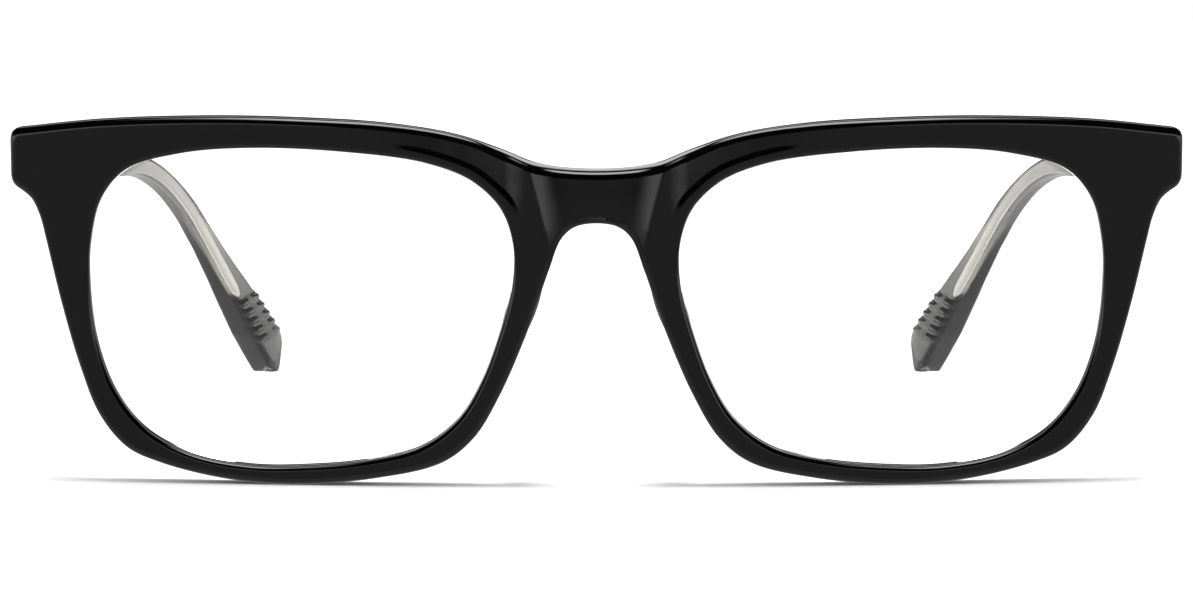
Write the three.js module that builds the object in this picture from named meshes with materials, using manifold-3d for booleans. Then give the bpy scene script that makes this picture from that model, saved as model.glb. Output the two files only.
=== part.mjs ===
// Full-rim eyeglasses frame with clear lenses and sprung temples, open on a table.
// Millimetres. X is lateral with the wearer's left at +X, +Y runs back along the temples, +Z is up.

import * as THREE from 'three';
import Module from 'manifold-3d';
import { mergeVertices } from 'three/addons/utils/BufferGeometryUtils.js';

const wasm = await Module();
wasm.setup();

const radians = THREE.MathUtils.degToRad;
const vec2 = (x, y) => new THREE.Vector2(x, y);
const vec3 = (x, y, z) => new THREE.Vector3(x, y, z);

// ---- Driving dimensions ----

const SIDES = { left: 1, right: -1 };

const FRONT_THICKNESS = 3.9;
const FRONT_EDGE = 0.5;             // chamfer round every edge of the front
const BOW_RADIUS = 340;             // horizontal curve of the front
const LEAN = radians(3);            // the top of the front leans forward
const LEAN_PIVOT = 22;              // height at which the leaning front crosses y = 0
const FRONT_RAISE = -0.128;         // brings the lowest point of the rims to the table

const LENS_THICKNESS = 2.0;
const LENS_BULGE = 1.2;             // how far the lens centre stands forward of its edge
const LENS_CLEARANCE = 0.08;        // between the lens and the rim
const GROOVE_DEPTH = 0.55;          // V groove in the rim that holds the lens
const GROOVE_WIDTH = 1.2;
const LENS_SETBACK = 1.1;           // lens edge's front face behind the front's face
const LENS_SIDES = 44;

const PAD_HALF = vec3(1.8, 3.1, 6.0);   // across the rim, rearward, along the rim
const PAD_CENTRE = vec2(9.0, 21.5);
const PAD_TURN = radians(20);           // follows the slope of the rim beside the nose
const PAD_GAP = 0.15;

const TEMPLE_SLOPE = radians(3.2);  // temples fall towards the ears
const HINGE = vec3(64.3, 13.5, 38.9);   // hinge axis at mid height, left side
const HINGE_TURN = -TEMPLE_SLOPE;
const BUTT_GAP = 0.5;               // between end piece and temple, room to open 5 degrees past straight
const BUTT_Y = -1.5;                // front end of the temple, from the hinge axis
const BUTT_CHAMFER = 0.5;
const END_PIECE_MIN = vec3(1.6, -6.5, -2.8);    // block behind the front's end, in the hinge's frame
const END_PIECE_MAX = vec3(6.3, BUTT_Y - BUTT_GAP, 3.0);

const KNUCKLE_RADIUS = 1.4;
const HINGE_HALF_HEIGHT = 2.6;
const MIDDLE_KNUCKLE_HALF = 0.85;
const KNUCKLE_GAP = 0.1;
const SCREW_RADIUS = 0.7;
const SCREW_HOLE_RADIUS = 0.76;
const SCREW_HEAD_RADIUS = 1.15;
const SCREW_HEAD_HEIGHT = 0.6;
const SCREW_SLOT = vec3(3, 0.35, 0.3);
const ROUND_SIDES = 20;

const PLATE_MIN = vec3(-4.0, -5.9, -2.8);   // front leaf's plate, let into the front
const PLATE_MAX = vec3(1.4, -3.8, 2.8);
const POCKET_GAP = 0.1;

const HOUSING_MIN = vec3(-0.2, 1.95, -2.2);
const HOUSING_MAX = vec3(2.9, 13.0, 2.2);
const HOUSING_EDGE = 0.3;
const ROD_X = 1.35;
const ROD_RADIUS = 0.5;
const ROD_END = 9.6;
const ROD_HOLE_RADIUS = 0.58;
const BORE_RADIUS = 1.15;
const BORE_START = 2.75;
const BORE_END = 12.2;
const COLLAR_RADIUS = 1.05;
const COLLAR_HOLE_RADIUS = 0.56;
const COLLAR_START = 8.7;
const COLLAR_END = 9.5;
const SPRING_RADIUS = 0.8;
const SPRING_WIRE_RADIUS = 0.16;
const SPRING_START = 3.0;
const SPRING_END = 8.45;
const SPRING_TURNS = 7;

const TIP_RADIUS = 1.8;             // rounding of the temple's end
const TIP_LEVEL = 0.9;              // how far into the rounding the flat end lies
const WIRE_START = 0.6;
const WIRE_END = 125.5;
const WIRE_HEIGHT = 2.2;
const WIRE_THICKNESS = 0.9;
const WIRE_GAP = 0.1;
const WIRE_WALL = 0.45;             // acetate between the wire and the temple's inner and lower faces
const WIRE_SHIFT_START = 60;        // the wire moves from the middle of the bar towards those faces
const WIRE_SHIFT_END = 90;
const RIB_START = 127.9;
const RIB_PITCH = 2.3;
const RIB_COUNT = 5;
const RIB_HEIGHT = 0.6;
const RIB_SLANT = 0.7;              // how far a rib runs back for each millimetre of its height

const STRAIGHT_STATIONS = { start: 14, end: 76, step: 12.4 };
const BEND_STEP = 4.65;
const WIRE_STEP = 15.5;

// ---- Solids ----

function solid(geometry) {
  const bare = geometry.clone();
  bare.deleteAttribute('normal');
  bare.deleteAttribute('uv');
  const merged = mergeVertices(bare, 1e-4);
  const index = merged.index.array;
  const triangles = [];
  for (let i = 0; i < index.length; i += 3) {
    const [a, b, c] = [index[i], index[i + 1], index[i + 2]];
    if (a !== b && b !== c && c !== a) {
      triangles.push(a, b, c);
    }
  }
  return new wasm.Manifold(new wasm.Mesh({
    numProp: 3,
    vertProperties: new Float32Array(merged.attributes.position.array),
    triVerts: new Uint32Array(triangles),
  }));
}

function surface(body) {
  const mesh = body.getMesh();
  const geometry = new THREE.BufferGeometry();
  geometry.setAttribute('position', new THREE.BufferAttribute(mesh.vertProperties, 3));
  geometry.setIndex(new THREE.BufferAttribute(mesh.triVerts, 1));
  geometry.computeVertexNormals();
  return geometry;
}

function mirrored(geometry, side) {
  if (side > 0) {
    return geometry;
  }
  const copy = geometry.clone();
  copy.scale(-1, 1, 1);
  const index = copy.index.array;
  for (let i = 0; i < index.length; i += 3) {
    [index[i], index[i + 1]] = [index[i + 1], index[i]];
  }
  copy.computeVertexNormals();
  return copy;
}

function box(min, max) {
  const size = max.clone().sub(min);
  const centre = min.clone().add(max).multiplyScalar(0.5);
  return new THREE.BoxGeometry(size.x, size.y, size.z).translate(centre.x, centre.y, centre.z);
}

function rodAlongZ(radius, bottom, top) {
  const rod = new THREE.CylinderGeometry(radius, radius, top - bottom, ROUND_SIDES);
  return rod.rotateX(Math.PI / 2).translate(0, 0, (bottom + top) / 2);
}

function rodAlongY(radius, start, end) {
  const rod = new THREE.CylinderGeometry(radius, radius, end - start, ROUND_SIDES);
  return rod.translate(ROD_X, (start + end) / 2, 0);
}

// A straight bar of the given section, laid station by station through place().
function loft(section, stations, place) {
  const steps = stations.length - 1;
  const bar = new THREE.ExtrudeGeometry(section, { depth: 1, steps, bevelEnabled: false });
  const positions = bar.attributes.position;
  const vertex = new THREE.Vector3();
  for (let i = 0; i < positions.count; i += 1) {
    vertex.fromBufferAttribute(positions, i);
    const point = place(stations[Math.round(vertex.z * steps)], vertex.x, vertex.y);
    positions.setXYZ(i, point.x, point.y, point.z);
  }
  return bar;
}

// Superellipse from -1 to 1 each way.
function barSection(sides, squareness) {
  const points = [];
  for (let i = 0; i < sides; i += 1) {
    const angle = ((i + 0.5) / sides) * 2 * Math.PI;
    const [c, s] = [Math.cos(angle), Math.sin(angle)];
    const power = 2 / squareness;
    points.push(vec2(Math.sign(c) * Math.abs(c) ** power, Math.sign(s) * Math.abs(s) ** power));
  }
  return new THREE.Shape(points);
}

function piece(name, geometry, colour, roughness, metalness) {
  const material = new THREE.MeshStandardMaterial({ color: colour, roughness, metalness });
  const mesh = new THREE.Mesh(geometry, material);
  mesh.name = name;
  return mesh;
}

// ---- Front: outline in its own plane, then bowed and leaned ----

// u is lateral, w is up in the plane of the front, t is depth behind its face.
function frontPoint(u, w, t) {
  const back = (u * u) / (2 * BOW_RADIUS) + t;
  const y = Math.sin(LEAN) * (LEAN_PIVOT - w) + Math.cos(LEAN) * back;
  const z = Math.cos(LEAN) * w + Math.sin(LEAN) * back + FRONT_RAISE;
  return vec3(u, y, z);
}

function bowed(geometry) {
  const positions = geometry.attributes.position;
  for (let i = 0; i < positions.count; i += 1) {
    const point = frontPoint(positions.getX(i), positions.getY(i), -positions.getZ(i));
    positions.setXYZ(i, point.x, point.y, point.z);
  }
  return geometry;
}

const BROW_LINE = [
  [0, 38.45], [6.7, 39.05], [11.5, 40.85], [17.4, 42.65], [25.8, 43.9], [35.4, 44.42], [46.3, 44.54],
  [59.7, 43.98], [70.1, 42.82],
];
const END_CORNER = vec2(71.0, 42.6);
const END_TOP = vec2(71.0, 41.4);
const END_BOTTOM = vec2(71.0, 37.3);
const END_UNDERSIDE = vec2(71.0, 35.9);
const RIM_LINE = [
  [0, 31.95], [2.6, 31.5], [4.2, 30.1], [5.7, 26.3], [8.4, 18.6], [11.8, 10.8], [14.8, 5.9], [18.6, 2.9],
  [26.6, 0.9], [36.5, 0.0], [45.0, 0.5], [53.1, 2.3], [57.2, 4.1], [60.5, 8.0], [62.8, 13.8], [65.0, 21.6],
  [66.8, 29.4], [67.5, 32.2], [68.5, 34.3], [69.8, 35.4],
];
const OPENING_LINE = [
  [61.4, 24.5], [61.2, 29.2], [59.8, 34.5], [56.6, 38.1], [50.0, 40.1], [41.4, 40.85], [30.5, 40.5],
  [20.5, 39.2], [14.8, 37.0], [11.5, 33.8], [10.0, 29.5], [10.1, 24.5], [11.6, 18.7], [13.8, 12.8],
  [16.6, 8.2], [21.0, 4.8], [27.3, 3.1], [34.6, 2.3], [41.9, 2.2], [49.3, 3.5], [54.8, 6.4],
  [58.4, 10.9], [60.6, 17.0],
];

// Smooth curve from the middle outwards; its mirror image carries on beyond the middle.
function fromMiddle(pairs) {
  const mirror = pairs.slice(1).reverse().map(([u, w]) => [-u, w]);
  const corners = [...mirror, ...pairs].map(([u, w]) => vec3(u, w, 0));
  const curve = new THREE.CatmullRomCurve3(corners, false, 'centripetal');
  const points = curve.getPoints(2 * (corners.length - 1));
  return points.slice(2 * mirror.length).map((point) => vec2(point.x, point.y));
}

function outlineShape() {
  const brow = fromMiddle(BROW_LINE);
  const rim = fromMiddle(RIM_LINE).reverse();
  const corner = new THREE.QuadraticBezierCurve(brow[brow.length - 1], END_CORNER, END_TOP);
  const underside = new THREE.QuadraticBezierCurve(END_BOTTOM, END_UNDERSIDE, rim[0]);
  const right = [...brow.slice(0, -1), ...corner.getPoints(2), ...underside.getPoints(2), ...rim.slice(1)];
  const left = right.slice(1, -1).reverse().map((point) => vec2(-point.x, point.y));
  return new THREE.Shape([...right, ...left]);
}

function openingPoints() {
  const loop = OPENING_LINE.map(([u, w]) => vec3(u, w, 0));
  return new THREE.CatmullRomCurve3(loop, true).getSpacedPoints(LENS_SIDES).slice(0, LENS_SIDES);
}

const OPENING = openingPoints();
const OPENING_SUM = OPENING.reduce((sum, point) => sum.add(point), vec3(0, 0, 0));
const OPENING_CENTRE = OPENING_SUM.divideScalar(LENS_SIDES);

// Lens-shaped disc whose V edge stands proud of the opening; grow widens it into a cutter.
function lensBlank(grow) {
  const edge = grow - LENS_CLEARANCE;
  const rim = LENS_THICKNESS / 2;
  const vee = GROOVE_WIDTH / 2;
  // Each entry: fraction of the way out, outward offset of the edge, depth from mid thickness.
  const profile = [
    [0, 0, -rim - grow], [0.55, 0, -rim - grow], [1, edge, -rim - grow], [1, edge, -vee - grow],
    [1, edge + GROOVE_DEPTH, 0], [1, edge, vee + grow], [1, edge, rim + grow], [0.55, 0, rim + grow],
    [0, 0, rim + grow],
  ];
  const rings = profile.map(([out], row) => vec2(out, row));
  const blank = new THREE.LatheGeometry(rings, LENS_SIDES);
  const positions = blank.attributes.position;
  const rows = profile.length;
  for (let i = 0; i < positions.count; i += 1) {
    const corner = OPENING[Math.floor(i / rows) % LENS_SIDES];
    const [out, offset, depth] = profile[i % rows];
    const ray = corner.clone().sub(OPENING_CENTRE);
    const reach = ray.length() * out + offset;
    const flat = ray.setLength(reach).add(OPENING_CENTRE);
    const bulge = LENS_BULGE * (1 - out * out);
    positions.setXYZ(i, flat.x, flat.y, depth + bulge - LENS_SETBACK - rim);
  }
  return bowed(blank);
}

function inHingeFrame(geometry) {
  return geometry.clone().rotateX(HINGE_TURN).translate(HINGE.x, HINGE.y, HINGE.z);
}

function cutter(min, max, gap) {
  return box(min.clone().subScalar(gap), max.clone().addScalar(gap));
}

function frontShape() {
  const shape = outlineShape();
  const left = OPENING.map((point) => vec2(point.x, point.y));
  const right = OPENING.map((point) => vec2(-point.x, point.y)).reverse();
  shape.holes.push(new THREE.Path(left), new THREE.Path(right));
  return shape;
}

function frontBody() {
  const extrusion = new THREE.ExtrudeGeometry(frontShape(), {
    depth: FRONT_THICKNESS - 2 * FRONT_EDGE,
    bevelThickness: FRONT_EDGE,
    bevelSize: FRONT_EDGE,
    bevelOffset: -FRONT_EDGE,
    bevelSegments: 1,
  });
  let body = solid(bowed(extrusion.translate(0, 0, FRONT_EDGE - FRONT_THICKNESS)));
  const endPiece = inHingeFrame(box(END_PIECE_MIN, END_PIECE_MAX));
  const pocket = inHingeFrame(cutter(PLATE_MIN, vec3(PLATE_MAX.x, 0, PLATE_MAX.z), POCKET_GAP));
  const lens = lensBlank(LENS_CLEARANCE);
  for (const side of Object.values(SIDES)) {
    body = body.add(solid(mirrored(endPiece, side)));
    body = body.subtract(solid(mirrored(pocket, side)));
    body = body.subtract(solid(mirrored(lens, side)));
  }
  return surface(body);
}

// Half-egg of acetate cemented to the rear of the rim beside the nose.
function nosePad() {
  const profile = [vec2(0, 0), vec2(1, 0), vec2(0.96, 0.3), vec2(0.8, 0.62), vec2(0.5, 0.88), vec2(0, 1)];
  const pad = new THREE.LatheGeometry(profile, 16);
  pad.scale(PAD_HALF.x, PAD_HALF.y, PAD_HALF.z);
  pad.rotateY(-PAD_TURN).rotateX(LEAN);
  const behind = (PAD_CENTRE.x + PAD_HALF.x) ** 2 / (2 * BOW_RADIUS) + PAD_GAP;
  const seat = frontPoint(PAD_CENTRE.x, PAD_CENTRE.y, FRONT_THICKNESS + behind);
  return surface(solid(pad.translate(seat.x, seat.y, seat.z)));
}

// ---- Hinge parts, in a frame with its origin on the hinge axis at mid height ----
// x is outboard, y runs back along the temple, z is the hinge axis.

function frontLeaf() {
  const earInner = MIDDLE_KNUCKLE_HALF + KNUCKLE_GAP;
  let leaf = solid(box(PLATE_MIN, PLATE_MAX));
  for (const [bottom, top] of [[earInner, HINGE_HALF_HEIGHT], [-HINGE_HALF_HEIGHT, -earInner]]) {
    const ear = box(vec3(-KNUCKLE_RADIUS, PLATE_MAX.y - 0.5, bottom), vec3(KNUCKLE_RADIUS, 0, top));
    leaf = leaf.add(solid(ear)).add(solid(rodAlongZ(KNUCKLE_RADIUS, bottom, top)));
  }
  return surface(leaf.subtract(solid(rodAlongZ(SCREW_HOLE_RADIUS, -4, 4))));
}

function hingeScrew() {
  const neck = HINGE_HALF_HEIGHT + 0.05;
  const top = neck + SCREW_HEAD_HEIGHT;
  const profile = [
    vec2(0, -HINGE_HALF_HEIGHT), vec2(SCREW_RADIUS - 0.15, -HINGE_HALF_HEIGHT),
    vec2(SCREW_RADIUS, -HINGE_HALF_HEIGHT + 0.15), vec2(SCREW_RADIUS, neck), vec2(SCREW_HEAD_RADIUS, neck),
    vec2(SCREW_HEAD_RADIUS, top - 0.2), vec2(SCREW_HEAD_RADIUS - 0.25, top), vec2(0, top),
  ];
  const turned = new THREE.LatheGeometry(profile, ROUND_SIDES).rotateX(Math.PI / 2);
  const slot = new THREE.BoxGeometry(SCREW_SLOT.x, SCREW_SLOT.y, 2 * SCREW_SLOT.z).translate(0, 0, top);
  return surface(solid(turned).subtract(solid(slot)));
}

// Middle knuckle, arm and rod in one piece.
function slider() {
  const half = MIDDLE_KNUCKLE_HALF;
  const knuckle = solid(rodAlongZ(KNUCKLE_RADIUS - 0.05, -half, half));
  const arm = solid(box(vec3(-0.2, 0.2, -half), vec3(ROD_X + 0.6, 1.8, half)));
  const rod = solid(rodAlongY(ROD_RADIUS, 1.5, ROD_END));
  const hole = solid(rodAlongZ(SCREW_HOLE_RADIUS, -4, 4));
  return surface(knuckle.add(arm).subtract(hole).add(rod));
}

function stopCollar() {
  const ring = solid(rodAlongY(COLLAR_RADIUS, COLLAR_START, COLLAR_END));
  return surface(ring.subtract(solid(rodAlongY(COLLAR_HOLE_RADIUS, 0, ROD_END + 1))));
}

class Helix extends THREE.Curve {
  getPoint(t) {
    const angle = t * SPRING_TURNS * 2 * Math.PI;
    const y = SPRING_START + t * (SPRING_END - SPRING_START);
    return vec3(ROD_X + SPRING_RADIUS * Math.cos(angle), y, SPRING_RADIUS * Math.sin(angle));
  }
}

function coilSpring() {
  const section = new THREE.Shape().absarc(0, 0, SPRING_WIRE_RADIUS, 0, 2 * Math.PI);
  const coil = new THREE.ExtrudeGeometry(new THREE.Shape(section.getPoints(5).slice(0, 5)), {
    steps: SPRING_TURNS * 8,
    extrudePath: new Helix(),
    bevelEnabled: false,
  });
  return surface(solid(coil));
}

function springHousing() {
  const size = HOUSING_MAX.clone().sub(HOUSING_MIN);
  const [w, h] = [size.x / 2 - HOUSING_EDGE, size.z / 2 - HOUSING_EDGE];
  const face = new THREE.Shape([vec2(-w, -h), vec2(w, -h), vec2(w, h), vec2(-w, h)]);
  const block = new THREE.ExtrudeGeometry(face, {
    depth: size.y - 2 * HOUSING_EDGE,
    bevelThickness: HOUSING_EDGE,
    bevelSize: HOUSING_EDGE,
    bevelSegments: 1,
  });
  block.translate(0, 0, HOUSING_EDGE).rotateX(-Math.PI / 2);
  block.translate(ROD_X, HOUSING_MIN.y, 0);
  const bore = solid(rodAlongY(BORE_RADIUS, BORE_START, BORE_END));
  const mouth = solid(rodAlongY(ROD_HOLE_RADIUS, 0, BORE_START + 1));
  return surface(solid(block).subtract(bore).subtract(mouth));
}

// ---- Temple: straight run, ear bend and drop, with a ribbed paddle at the tip ----

const TEMPLE_START = vec3(68.3, 12.0, 39.0);
const BOW_OUT = vec3(68.6, 38, 37.55);
const BOW_IN = vec3(69.4, 64, 36.1);
const BEND_START = vec3(67.2, 88, 34.75);
const BEND_CORNER = vec3(65.2, 107.2, 34.1);
const BEND_END = vec3(61.3, 116, 26.2);
const TEMPLE_END = vec3(51.0, 143.852, 1.7);

function templePath() {
  const path = new THREE.CurvePath();
  path.add(new THREE.CubicBezierCurve3(TEMPLE_START, BOW_OUT, BOW_IN, BEND_START));
  path.add(new THREE.QuadraticBezierCurve3(BEND_START, BEND_CORNER, BEND_END));
  path.add(new THREE.LineCurve3(BEND_END, TEMPLE_END));
  return path;
}

const TABLE_MIN = vec3(30, 120, -20);
const TABLE_MAX = vec3(80, 170, 0);

const PATH = templePath();
const TEMPLE_LENGTH = PATH.getLength();

// Distance along the temple, height, thickness, and how much thicker the lower edge is than the middle.
const TEMPLE_SIZES = [
  [0, 6.0, 3.6, 0], [38, 4.7, 3.3, 0], [76, 3.2, 2.8, 0], [86, 3.1, 2.7, 0], [97, 3.2, 2.7, 0],
  [107, 3.5, 2.85, 0], [113, 4.0, 2.9, 0.2], [119, 5.0, 3.1, 0.5], [126, 6.6, 3.6, 0.85],
  [133, 8.1, 4.0, 0.95], [140, 8.6, 4.0, 0.9], [150, 8.6, 3.7, 0.7],
];

function templeSize(distance) {
  let k = 1;
  while (k < TEMPLE_SIZES.length - 1 && distance > TEMPLE_SIZES[k][0]) {
    k += 1;
  }
  const [before, after] = [TEMPLE_SIZES[k - 1], TEMPLE_SIZES[k]];
  const share = (distance - before[0]) / (after[0] - before[0]);
  const blend = (column) => THREE.MathUtils.lerp(before[column], after[column], share);
  return { height: blend(1), thickness: blend(2), slant: blend(3) };
}

function templeFrame(distance) {
  const t = THREE.MathUtils.clamp(distance / TEMPLE_LENGTH, 0, 1);
  const along = PATH.getTangent(t);
  const inboard = vec3(0, 0, 1).cross(along).normalize();
  const upward = along.clone().cross(inboard).normalize();
  return { centre: PATH.getPoint(t), inboard, upward };
}

function ribHeight(distance, vertical) {
  const turn = (distance - RIB_SLANT * vertical - RIB_START) / RIB_PITCH;
  if (turn < 0 || turn > RIB_COUNT) {
    return 0;
  }
  return RIB_HEIGHT * Math.sin(turn * Math.PI) ** 2;
}

function tipFactor(distance) {
  const inside = (TIP_RADIUS - (TEMPLE_LENGTH - distance)) / TIP_RADIUS;
  return Math.sqrt(1 - THREE.MathUtils.clamp(inside, 0, TIP_LEVEL) ** 2);
}

function templeStations() {
  const stations = [0, BUTT_CHAMFER];
  const { start, end, step } = STRAIGHT_STATIONS;
  for (let s = start; s < end; s += step) {
    stations.push(s);
  }
  for (let s = end; s < RIB_START - RIB_PITCH; s += BEND_STEP) {
    stations.push(s);
  }
  for (let i = -4; i <= (RIB_COUNT + 1) * 4; i += 1) {
    stations.push(RIB_START + (i * RIB_PITCH) / 4);
  }
  for (const share of [0, 0.5, 0.8, 1]) {
    stations.push(TEMPLE_LENGTH - TIP_RADIUS * (1 - share));
  }
  return stations;
}

function templePoint(distance, across, upwards) {
  const { centre, inboard, upward } = templeFrame(distance);
  const { height, thickness, slant } = templeSize(distance);
  const chamfer = Math.max(0, BUTT_CHAMFER - distance);
  const vertical = upwards * ((height / 2) * tipFactor(distance) - chamfer);
  const rib = across > 0.6 ? ribHeight(distance, vertical) : 0;
  const inner = across > 0 ? rib - slant * upwards : 0;
  const lateral = across * (thickness / 2 - chamfer) + inner;
  return centre.addScaledVector(inboard, lateral).addScaledVector(upward, vertical);
}

// Middle of the wire: how far towards the wearer and how far down from the middle of the bar.
function wireShift(distance) {
  const { height, thickness, slant } = templeSize(distance);
  const share = THREE.MathUtils.smoothstep(distance, WIRE_SHIFT_START, WIRE_SHIFT_END);
  const down = Math.max(0, (height - WIRE_HEIGHT) / 2 - WIRE_WALL);
  const towards = (thickness - WIRE_THICKNESS) / 2 - WIRE_WALL + (slant * down) / (height / 2);
  return { towards: share * towards, down: share * down };
}

function wirePoint(grow) {
  return (distance, across, upwards) => {
    const { centre, inboard, upward } = templeFrame(distance);
    const { towards, down } = wireShift(distance);
    const taper = THREE.MathUtils.clamp((WIRE_END - distance) / WIRE_HEIGHT, 0.3, 1) ** 0.5;
    centre.addScaledVector(inboard, towards + across * (WIRE_THICKNESS / 2 + grow));
    return centre.addScaledVector(upward, upwards * ((WIRE_HEIGHT / 2) * taper + grow) - down);
  };
}

function wireStations(first, last) {
  const stations = [first];
  const { start, end } = STRAIGHT_STATIONS;
  for (let s = start; s < end; s += WIRE_STEP) {
    stations.push(s);
  }
  for (let s = end; s < WIRE_END - 5; s += BEND_STEP) {
    stations.push(s);
  }
  stations.push(WIRE_END - 2.2, WIRE_END - 0.9, last);
  return stations;
}

function coreWire() {
  const bar = loft(barSection(8, 6), wireStations(WIRE_START, WIRE_END), wirePoint(0));
  return surface(solid(bar));
}

function templeBody() {
  const bar = solid(loft(barSection(12, 4), templeStations(), templePoint));
  const channelEnds = wireStations(0, WIRE_END + WIRE_GAP);
  let channel = solid(loft(barSection(8, 6), channelEnds, wirePoint(WIRE_GAP)));
  const { centre } = templeFrame(0);
  const half = WIRE_THICKNESS / 2 + WIRE_GAP;
  const mouth = vec3(half, 1, WIRE_HEIGHT / 2 + WIRE_GAP);
  channel = channel.add(solid(box(centre.clone().sub(mouth), centre.clone().add(mouth))));
  const pocket = solid(inHingeFrame(cutter(HOUSING_MIN, HOUSING_MAX, POCKET_GAP)));
  const table = solid(box(TABLE_MIN, TABLE_MAX));
  return surface(bar.subtract(channel).subtract(pocket).subtract(table));
}

// ---- Assembly ----

const object = new THREE.Group();

function addHinge(side, label) {
  const hinge = new THREE.Group();
  hinge.position.set(side * HINGE.x, HINGE.y, HINGE.z);
  hinge.rotation.x = HINGE_TURN;
  hinge.add(piece(`front_hinge_${label}`, mirrored(frontLeaf(), side), 0xb9bcc0, 0.3, 1));
  hinge.add(piece(`hinge_screw_${label}`, mirrored(hingeScrew(), side), 0xc6c8cb, 0.25, 1));
  hinge.add(piece(`slider_${label}`, mirrored(slider(), side), 0xb9bcc0, 0.3, 1));
  hinge.add(piece(`stop_collar_${label}`, mirrored(stopCollar(), side), 0xa9abb0, 0.35, 1));
  hinge.add(piece(`spring_${label}`, mirrored(coilSpring(), side), 0x9a9ca1, 0.35, 1));
  hinge.add(piece(`spring_housing_${label}`, mirrored(springHousing(), side), 0xb2b5ba, 0.3, 1));
  object.add(hinge);
}

object.add(piece('front', frontBody(), 0x0a0a0b, 0.12, 0));
for (const [label, side] of Object.entries(SIDES)) {
  object.add(piece(`lens_${label}`, mirrored(surface(solid(lensBlank(0))), side), 0xf6fafa, 0.05, 0));
  object.add(piece(`nose_pad_${label}`, mirrored(nosePad(), side), 0x0c0c0d, 0.2, 0));
  addHinge(side, label);
  object.add(piece(`core_wire_${label}`, mirrored(coreWire(), side), 0xc8c3bc, 0.35, 1));
  object.add(piece(`temple_${label}`, mirrored(templeBody(), side), 0x5b5b58, 0.25, 0));
}

// The origin is under the middle of the object, on the table.
const extent = new THREE.Box3().setFromObject(object);
const middle = extent.getCenter(new THREE.Vector3());
object.position.set(-middle.x, -middle.y, 0);

export default object;
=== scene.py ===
"""Full-rim eyeglasses frame: finished surfaces, materials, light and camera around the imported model.

Shapes are worked out in millimetres and turned into metres when a mesh is made.
X is lateral with the wearer's left at +X, +Y runs back along the temples, +Z is up.
"""

import math

import bmesh
import bpy
import numpy as np
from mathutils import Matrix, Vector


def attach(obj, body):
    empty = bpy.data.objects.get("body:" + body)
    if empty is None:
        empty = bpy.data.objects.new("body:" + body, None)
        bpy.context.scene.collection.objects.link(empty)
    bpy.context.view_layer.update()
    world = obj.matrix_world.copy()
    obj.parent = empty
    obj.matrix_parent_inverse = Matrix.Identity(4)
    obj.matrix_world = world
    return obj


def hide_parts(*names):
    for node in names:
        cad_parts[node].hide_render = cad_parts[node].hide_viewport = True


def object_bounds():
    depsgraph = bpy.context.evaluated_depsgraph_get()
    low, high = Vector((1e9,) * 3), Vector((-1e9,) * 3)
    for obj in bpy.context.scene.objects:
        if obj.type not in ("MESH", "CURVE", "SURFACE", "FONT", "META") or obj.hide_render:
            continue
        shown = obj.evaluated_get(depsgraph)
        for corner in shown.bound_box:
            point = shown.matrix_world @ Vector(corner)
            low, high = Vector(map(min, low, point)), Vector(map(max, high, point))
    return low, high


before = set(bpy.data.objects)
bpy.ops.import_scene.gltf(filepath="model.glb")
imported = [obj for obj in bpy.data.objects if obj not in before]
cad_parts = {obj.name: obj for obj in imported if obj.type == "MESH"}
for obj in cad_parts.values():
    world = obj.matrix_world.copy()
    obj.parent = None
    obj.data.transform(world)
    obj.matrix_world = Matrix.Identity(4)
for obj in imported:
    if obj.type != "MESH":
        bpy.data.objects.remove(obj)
CAD_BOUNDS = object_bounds()

MM = 0.001
SIDES = {"left": 1, "right": -1}

# ---- Driving dimensions, millimetres ----

ORIGIN_Y = 72.4462                  # from the front's own plane back to the object's origin
FRONT_THICKNESS = 3.9
OUTER_EDGE = 0.8                    # rounding of the front's outer edge
INNER_EDGE = 0.5                    # and of the openings' edge
BOW_RADIUS = 340                    # horizontal curve of the front
LEAN = math.radians(3)              # the top of the front leans forward
LEAN_PIVOT = 22
FRONT_RAISE = -0.128                # brings the rims down to the table

HINGE_PLACE = (64.3, 13.5, 38.9)    # before the move by ORIGIN_Y
HINGE_TILT = math.radians(3.2)      # the hinge pin leans back at its top
BLOCK_LOW = (1.6, -6.5, -2.8)       # block behind the end piece, in the hinge's own space
BLOCK_HIGH = (6.3, -2.0, 3.0)
BLOCK_EDGE = 0.5                    # rounding of its front and back edges
BLOCK_SIDES = 48
BLOCK_SQUARENESS = 9
BLOCK_RINGS = 13

LENS_THICKNESS = 2.0
LENS_BULGE = 1.2                    # how far the lens's middle stands in front of its edge
LENS_CLEARANCE = 0.08               # between the lens and the opening
LENS_SETBACK = 1.1                  # from the front's face to the lens's edge
LENS_HUB = 0.02                     # innermost ring, as a share of the outline
VEE_REACH = 0.92                    # height of the vee on the lens's edge, as a share of the groove's depth
VEE_FLAT = 0.08                     # flat at the vee's tip, as a share of the groove's width
GROOVE_DEPTH = 0.55
GROOVE_WIDTH = 1.2

PAD_HALF = np.array([1.8, 3.1, 6.0])
PAD_CENTRE = (9.0, 21.5)            # lateral and up
PAD_TURN = math.radians(20)
PAD_GAP = 0.15                      # film of cement behind the front
PAD_SEAT = -0.55                    # where the pad's flat side cuts its round body
PAD_POLE = 0.02                     # radians left open at each end, then closed by a fan

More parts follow.
